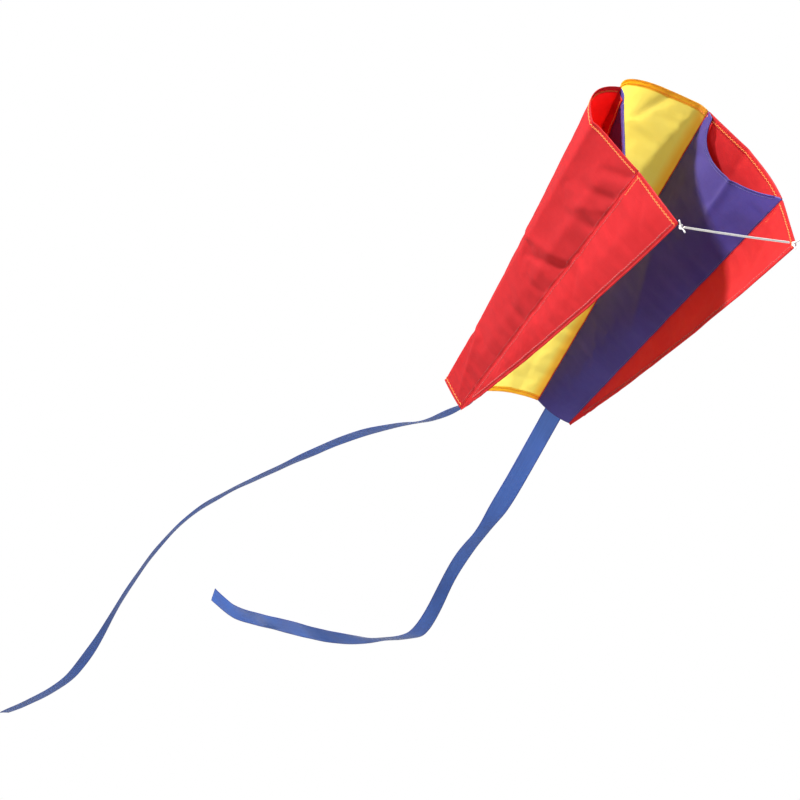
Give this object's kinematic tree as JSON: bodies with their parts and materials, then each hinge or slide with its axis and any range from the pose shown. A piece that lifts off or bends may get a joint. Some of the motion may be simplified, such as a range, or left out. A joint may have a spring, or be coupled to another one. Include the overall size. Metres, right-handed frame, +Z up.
{
  "type": "sled kite",
  "caption": "Frameless pocket sled kite in flight: centre panel between two scooped ram-air cells, keels below, taut bridle line and two ribbon tails.",
  "frame": {"origin": "the tow point, at the middle of the bridle line between the two keel tips", "axes": "+Z up, +Y downwind from the bridle to the tails, +X to the right of someone facing downwind"},
  "size_m": [0.5004, 1.6229, 0.5606],
  "materials": {
    "red_cloth": "semi-gloss",
    "yellow_cloth": "semi-gloss",
    "blue_cloth": "semi-gloss",
    "orange_hem": "semi-gloss",
    "tail_ribbon": "satin",
    "bridle_cord": "matte"
  },
  "bodies": {
    "canopy": {"centre_panel": "yellow_cloth", "centre_front_hem": "orange_hem", "centre_rear_hem": "orange_hem", "left_outer_skin": "red_cloth", "left_outer_front_hem": "red_cloth", "left_outer_rear_hem": "red_cloth", "left_inner_skin": "blue_cloth", "left_mouth_hem": "blue_cloth", "left_tail_sewn_end": "tail_ribbon", "right_outer_skin": "red_cloth", "right_outer_front_hem": "red_cloth", "right_outer_rear_hem": "red_cloth", "right_inner_skin": "blue_cloth", "right_mouth_hem": "blue_cloth", "right_tail_sewn_end": "tail_ribbon"},
    "left_keel_flap": {"left_keel": "red_cloth", "left_keel_front_hem": "red_cloth", "left_keel_lower_hem": "red_cloth", "left_bridle_knot": "bridle_cord"},
    "left_tail_ribbon": {"left_tail": "tail_ribbon"},
    "right_keel_flap": {"right_keel": "red_cloth", "right_keel_front_hem": "red_cloth", "right_keel_lower_hem": "red_cloth", "right_bridle_knot": "bridle_cord"},
    "right_tail_ribbon": {"right_tail": "tail_ribbon"},
    "bridle": {"bridle_line": "bridle_cord"}
  },
  "joints": [
    {"name": "left_keel_swing", "type": "hinge", "parent": "canopy", "child": "left_keel_flap", "pos_m": [-0.095, 0.04584, 0.07629], "axis": [0.0301, 0.9624, -0.2701], "range_deg": [-12, 12]},
    {"name": "right_keel_swing", "type": "hinge", "parent": "canopy", "child": "right_keel_flap", "pos_m": [0.095, 0.04584, 0.07629], "axis": [-0.0301, 0.9624, -0.2701], "range_deg": [-12, 12]},
    {"name": "bridle_swing", "type": "hinge", "parent": "left_keel_flap", "child": "bridle", "pos_m": [-0.0726, 0, 0], "axis": [0, 0.9697, -0.2443], "range_deg": [-16, 16]},
    {"name": "left_tail_swing", "type": "hinge", "parent": "canopy", "child": "left_tail_ribbon", "pos_m": [-0.06225, 0.53724, -0.04369], "axis": [0.9563, 0.2924, 0], "range_deg": [-60, 25]},
    {"name": "right_tail_swing", "type": "hinge", "parent": "canopy", "child": "right_tail_ribbon", "pos_m": [0.06225, 0.53724, -0.04369], "axis": [0.9954, 0.0958, 0], "range_deg": [-40, 30]}
  ],
  "couplings": [
    {"joint": "right_keel_swing", "follows": "left_keel_swing", "ratio": 1},
    {"joint": "bridle_swing", "follows": "left_keel_swing", "ratio": -1.318}
  ]
}
